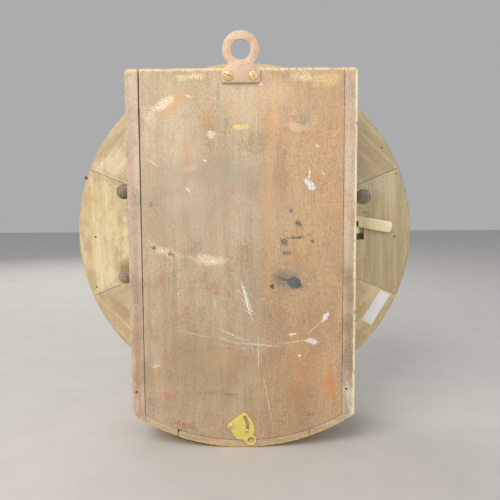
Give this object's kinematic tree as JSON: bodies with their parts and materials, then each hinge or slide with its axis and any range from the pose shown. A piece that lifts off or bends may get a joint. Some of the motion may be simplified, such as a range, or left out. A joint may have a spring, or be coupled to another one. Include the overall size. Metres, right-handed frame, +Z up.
{
  "type": "school wall clock",
  "caption": "Round dial wall clock with a turned wooden surround, pegged to a deep box that holds a spring-driven fusee movement and a short pendulum.",
  "frame": {"origin": "the point of the box's rear face that lies behind the dial's centre", "axes": "+Z up as the clock hangs; +Y out of the rear face, towards the wall; the dial looks along -Y"},
  "size_m": [0.38, 0.1535, 0.392],
  "materials": {
    "pine": "bare, aged",
    "mahogany": "bare, worn",
    "ebony": "dark stain, turned",
    "iron": "rusted",
    "brass": "brushed, tarnished",
    "steel": "ground",
    "enamel": "satin",
    "blued": "blued",
    "glass": "clear"
  },
  "bodies": {
    "case": {"surround_segment_1": "pine", "surround_segment_2": "pine", "surround_segment_3": "pine", "surround_segment_4": "pine", "surround_segment_5": "pine", "surround_segment_6": "pine", "surround_segment_7": "pine", "surround_segment_8": "pine", "batten_left": "pine", "batten_right": "pine", "side_board_left": "mahogany", "side_board_right": "mahogany", "top_board": "mahogany", "backboard": "mahogany", "foot_board_left": "mahogany", "foot_board_right": "mahogany", "hanging_plate": "iron", "hanging_screw_left": "iron", "hanging_screw_right": "iron", "case_peg_left_1": "ebony", "case_peg_right_1": "ebony", "case_peg_right_2": "ebony", "steady_pivot_screw": "brass", "steady_guide_screw": "iron", "bezel_catch_screw": "steel", "bezel_hinge": "brass", "side_door_hinge": "brass", "foot_door_hinge": "brass", "dial_plate": "enamel", "front_plate": "brass", "back_plate": "brass", "back_cock": "brass", "barrel_arbor": "steel"},
    "bezel": {"bezel_ring": "brass", "bezel_glass": "glass", "sight_ring": "brass"},
    "catch": {"bezel_catch": "brass"},
    "side_door": {"side_door": "mahogany"},
    "side_knob": {"side_door_knob": "brass"},
    "foot_door": {"foot_door": "mahogany"},
    "foot_button": {"foot_door_button": "brass"},
    "steady": {"steady_plate": "brass"},
    "minute": {"centre_arbor": "steel", "centre_wheel": "brass", "cannon_pinion": "steel", "minute_hand": "blued"},
    "great": {"great_wheel": "brass"},
    "fusee": {"fusee": "brass"},
    "barrel": {"spring_barrel": "brass"},
    "motion": {"minute_wheel": "brass"},
    "hour": {"hour_wheel": "brass", "hour_hand": "blued"},
    "third": {"third_wheel": "brass"},
    "escape": {"escape_wheel": "brass"},
    "pendulum": {"suspension_spring": "steel", "pendulum_rod": "steel"},
    "pallets": {"pallet_anchor": "steel", "crutch": "steel"},
    "bob": {"pendulum_bob": "brass"},
    "nut": {"rating_nut": "brass"}
  },
  "joints": [
    {"name": "bezel_swing", "type": "hinge", "parent": "case", "child": "bezel", "pos_m": [0.178, -0.1383, 0], "axis": [0, 0, 1], "range_deg": [0, 110]},
    {"name": "catch_turn", "type": "hinge", "parent": "case", "child": "catch", "pos_m": [-0.119, -0.11, 0.0141], "axis": [0, -1, 0], "range_deg": [0, 8]},
    {"name": "side_door_swing", "type": "hinge", "parent": "case", "child": "side_door", "pos_m": [0.1025, -0.0265, -0.117], "axis": [0, 0, 1], "range_deg": [0, 95]},
    {"name": "side_knob_turn", "type": "hinge", "parent": "side_door", "child": "side_knob", "pos_m": [0.107, -0.079, -0.117], "axis": [1, 0, 0], "range_deg": [0, 90]},
    {"name": "foot_door_swing", "type": "hinge", "parent": "case", "child": "foot_door", "pos_m": [0.06, -0.0605, -0.18921], "axis": [0, -1, 0], "range_deg": [0, 80]},
    {"name": "foot_button_turn", "type": "hinge", "parent": "case", "child": "foot_button", "pos_m": [-0.0694, -0.0605, -0.18923], "axis": [-0.3561, 0, -0.9344], "range_deg": [0, 90]},
    {"name": "steady_turn", "type": "hinge", "parent": "case", "child": "steady", "pos_m": [0.0116, 0.0009, -0.1807], "axis": [0, -1, 0], "range_deg": [0, 50]},
    {"name": "minute_turn", "type": "hinge", "parent": "case", "child": "minute", "pos_m": [0, -0.06, 0], "axis": [0, 1, 0], "continuous": true},
    {"name": "great_turn", "type": "hinge", "parent": "case", "child": "great", "pos_m": [0.02758, 0, -0.02758], "axis": [0, 1, 0], "continuous": true},
    {"name": "fusee_wind", "type": "hinge", "parent": "great", "child": "fusee", "pos_m": [0.02758, 0, -0.02758], "axis": [0, 1, 0], "range_deg": [0, 2520]},
    {"name": "barrel_turn", "type": "hinge", "parent": "case", "child": "barrel", "pos_m": [-0.03472, 0, -0.02758], "axis": [0, 1, 0], "continuous": true},
    {"name": "motion_turn", "type": "hinge", "parent": "case", "child": "motion", "pos_m": [-0.01697, 0, 0.01697], "axis": [0, 1, 0], "continuous": true},
    {"name": "hour_turn", "type": "hinge", "parent": "case", "child": "hour", "pos_m": [0, -0.12, 0], "axis": [0, 1, 0], "continuous": true},
    {"name": "third_turn", "type": "hinge", "parent": "case", "child": "third", "pos_m": [0.01365, 0, 0.02364], "axis": [0, 1, 0], "continuous": true},
    {"name": "escape_turn", "type": "hinge", "parent": "case", "child": "escape", "pos_m": [0, 0, 0.03993], "axis": [0, 1, 0], "continuous": true},
    {"name": "pendulum_swing", "type": "hinge", "parent": "case", "child": "pendulum", "pos_m": [0, -0.05, 0.061], "axis": [0, 1, 0], "range_deg": [-3.5, 3.5]},
    {"name": "pallets_rock", "type": "hinge", "parent": "case", "child": "pallets", "pos_m": [0, 0, 0.061], "axis": [0, 1, 0], "range_deg": [-3.5, 3.5]},
    {"name": "bob_slide", "type": "slide", "parent": "pendulum", "child": "bob", "axis": [0, 0, 1], "range_m": [-0.0028, 0.0028]},
    {"name": "rating_nut_turn", "type": "hinge", "parent": "bob", "child": "nut", "pos_m": [0, -0.05, -0.1733], "axis": [0, 0, 1], "range_deg": [-1440, 1440]}
  ],
  "couplings": [
    {"joint": "great_turn", "follows": "minute_turn", "ratio": -0.083333},
    {"joint": "barrel_turn", "follows": "minute_turn", "ratio": -0.058333},
    {"joint": "motion_turn", "follows": "minute_turn", "ratio": -0.66667},
    {"joint": "hour_turn", "follows": "minute_turn", "ratio": 0.083333},
    {"joint": "third_turn", "follows": "minute_turn", "ratio": -12},
    {"joint": "escape_turn", "follows": "minute_turn", "ratio": 133.71},
    {"joint": "pallets_rock", "follows": "pendulum_swing", "ratio": 1}
  ]
}
